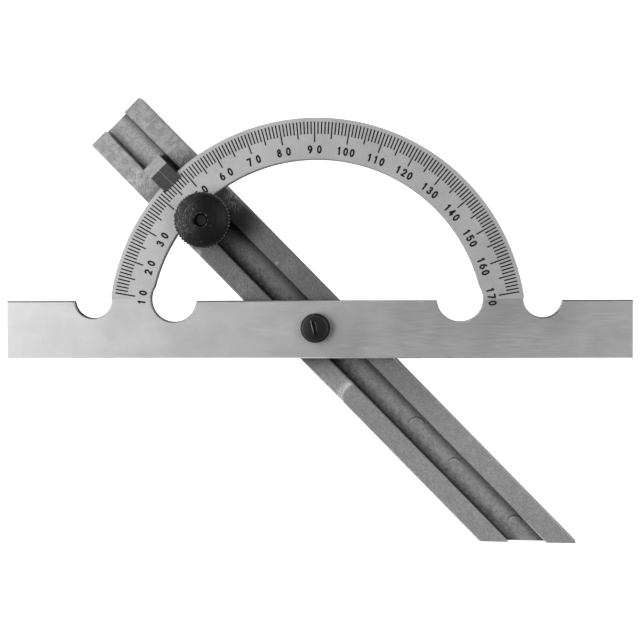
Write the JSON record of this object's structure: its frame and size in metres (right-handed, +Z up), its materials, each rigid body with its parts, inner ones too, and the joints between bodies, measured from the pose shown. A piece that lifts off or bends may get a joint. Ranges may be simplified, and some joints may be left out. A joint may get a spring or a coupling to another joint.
{
  "type": "protractor with arm",
  "caption": "Workshop protractor: flat steel bar with a half-round degree scale, a grooved arm that swivels and slides under it, a bevelled index and a knurled clamp nut.",
  "frame": {"origin": "on the pivot's axis, at the arm's underside, on which the tool lies", "axes": "+X along the bar towards the high readings, +Y towards the scale arc, +Z up out of the face with the scale"},
  "size_m": [0.12, 0.0856, 0.0119],
  "materials": {
    "plate_steel": "satin, brushed along the bar",
    "scale_enamel": "matt black enamel in engraved lines",
    "arm_steel": "ground, slightly mottled",
    "block_steel": "milled",
    "spring_steel": "tempered spring steel",
    "black_oxide": "black oxide, semi-matt"
  },
  "bodies": {
    "plate": {"protractor_plate": "plate_steel", "graduation_lines": "scale_enamel"},
    "carriage": {"pivot_slide_block": "block_steel", "pivot_screw": "black_oxide", "pivot_spring_washer": "spring_steel", "index_slide_block": "block_steel", "clamp_stud": "black_oxide"},
    "arm": {"arm_rail": "arm_steel"},
    "washer": {"clamp_washer": "black_oxide"},
    "nut": {"knurled_nut": "black_oxide"}
  },
  "joints": [
    {"name": "arm_swivel", "type": "hinge", "parent": "plate", "child": "carriage", "pos_m": [0, 0, 0.006], "axis": [0, 0, 1], "range_deg": [-124.3, 35.7]},
    {"name": "arm_slide", "type": "slide", "parent": "carriage", "child": "arm", "axis": [-0.6984, 0.7157, 0], "range_m": [-0.01, 0.045]},
    {"name": "nut_lift", "type": "slide", "parent": "carriage", "child": "washer", "axis": [0, 0, 1], "range_m": [0, 0.0009]},
    {"name": "nut_turn", "type": "hinge", "parent": "washer", "child": "nut", "pos_m": [-0.02132, 0.0207, 0.0095], "axis": [0, 0, 1], "range_deg": [0, 721.5]}
  ],
  "couplings": [
    {"joint": "nut_turn", "follows": "nut_lift", "rad_per_m": 13963}
  ]
}
